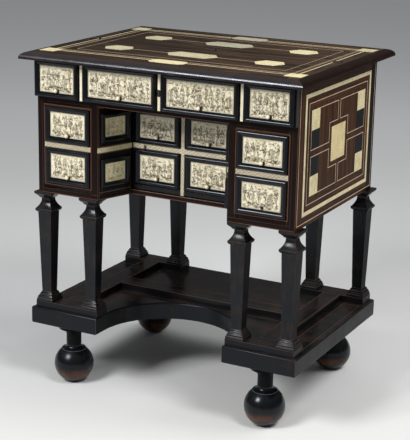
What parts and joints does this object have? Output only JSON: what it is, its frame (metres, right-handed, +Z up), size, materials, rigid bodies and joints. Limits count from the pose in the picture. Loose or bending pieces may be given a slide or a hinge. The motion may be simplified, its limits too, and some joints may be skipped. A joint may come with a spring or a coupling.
{
  "type": "folding-top kneehole desk",
  "caption": "Small period desk with a folding top, a dummy-drawer fall front, a recess door and pedestal drawers, on tapered square legs joined by a low slab on ball feet",
  "frame": {"origin": "On the floor, below the middle of the top", "axes": "+X across the front to the sitter's right, +Y from front to back, +Z up"},
  "size_m": [0.73, 0.562, 0.837],
  "materials": {
    "ebony": "satin polished black wood with brown wear",
    "rosewood": "polished dark brown veneer",
    "carcass_wood": "plain oiled secondary wood",
    "ivory": "aged ivory-coloured plates with dark engraving",
    "iron": "dark wrought iron"
  },
  "bodies": {
    "case": {"base_slab": "ebony", "stretcher": "ebony", "legs_front_left": "ebony", "legs_front_right": "ebony", "legs_back_left": "ebony", "legs_back_right": "ebony", "foot_front_left": "ebony", "foot_front_right": "ebony", "foot_back_left": "ebony", "foot_back_right": "ebony", "side_left": "rosewood", "side_right": "rosewood", "side_inlay_left": "ivory", "side_inlay_right": "ivory", "back_board": "carcass_wood", "case_floor": "carcass_wood", "writing_deck": "carcass_wood", "kneehole_walls": "ebony", "kneehole_frames": "ebony", "kneehole_plaques": "ivory", "front_rails": "ebony", "drawer_bearers": "carcass_wood", "rail_strips": "ivory", "top_rear_board": "rosewood", "top_rear_edging": "ebony", "top_rear_inlay": "ivory", "top_hinges_rear": "iron", "flap_hinges_fixed": "iron", "door_hinges_fixed": "iron"},
    "top_leaf": {"top_front_board": "rosewood", "top_front_edging": "ebony", "top_front_inlay": "ivory", "top_hinges_front": "iron"},
    "fall_front": {"flap_board": "ebony", "flap_frames": "ebony", "flap_plaques": "ivory", "flap_knobs": "ivory", "flap_lock": "iron", "flap_hinges_moving": "iron"},
    "recess_door": {"door_board": "ebony", "door_frames": "ebony", "door_plaques": "ivory", "door_knobs": "ivory", "door_lock": "iron", "door_hinges_moving": "iron"},
    "drawer_upper_left": {"drawer_upper_left_box": "carcass_wood", "drawer_upper_left_frame": "ebony", "drawer_upper_left_plaque": "ivory", "drawer_upper_left_knob": "ivory"},
    "drawer_upper_right": {"drawer_upper_right_box": "carcass_wood", "drawer_upper_right_frame": "ebony", "drawer_upper_right_plaque": "ivory", "drawer_upper_right_knob": "ivory"},
    "drawer_lower_left": {"drawer_lower_left_box": "carcass_wood", "drawer_lower_left_frame": "ebony", "drawer_lower_left_plaque": "ivory", "drawer_lower_left_knob": "ivory"},
    "drawer_lower_right": {"drawer_lower_right_box": "carcass_wood", "drawer_lower_right_frame": "ebony", "drawer_lower_right_plaque": "ivory"}
  },
  "joints": [
    {"name": "top_fold", "type": "hinge", "parent": "case", "child": "top_leaf", "pos_m": [0, 0, 0.834], "axis": [-1, 0, 0], "range_deg": [0, 180]},
    {"name": "fall_front_drop", "type": "hinge", "parent": "case", "child": "fall_front", "pos_m": [0, -0.2395, 0.726], "axis": [1, 0, 0], "range_deg": [0, 90]},
    {"name": "recess_door_swing", "type": "hinge", "parent": "case", "child": "recess_door", "pos_m": [0.137, -0.1435, 0.6], "axis": [0, 0, 1], "range_deg": [0, 72]},
    {"name": "drawer_upper_left_slide", "type": "slide", "parent": "case", "child": "drawer_upper_left", "axis": [0, -1, 0], "range_m": [0, 0.28]},
    {"name": "drawer_upper_right_slide", "type": "slide", "parent": "case", "child": "drawer_upper_right", "axis": [0, -1, 0], "range_m": [0, 0.28]},
    {"name": "drawer_lower_left_slide", "type": "slide", "parent": "case", "child": "drawer_lower_left", "axis": [0, -1, 0], "range_m": [0, 0.28]},
    {"name": "drawer_lower_right_slide", "type": "slide", "parent": "case", "child": "drawer_lower_right", "axis": [0, -1, 0], "range_m": [0, 0.28]}
  ]
}
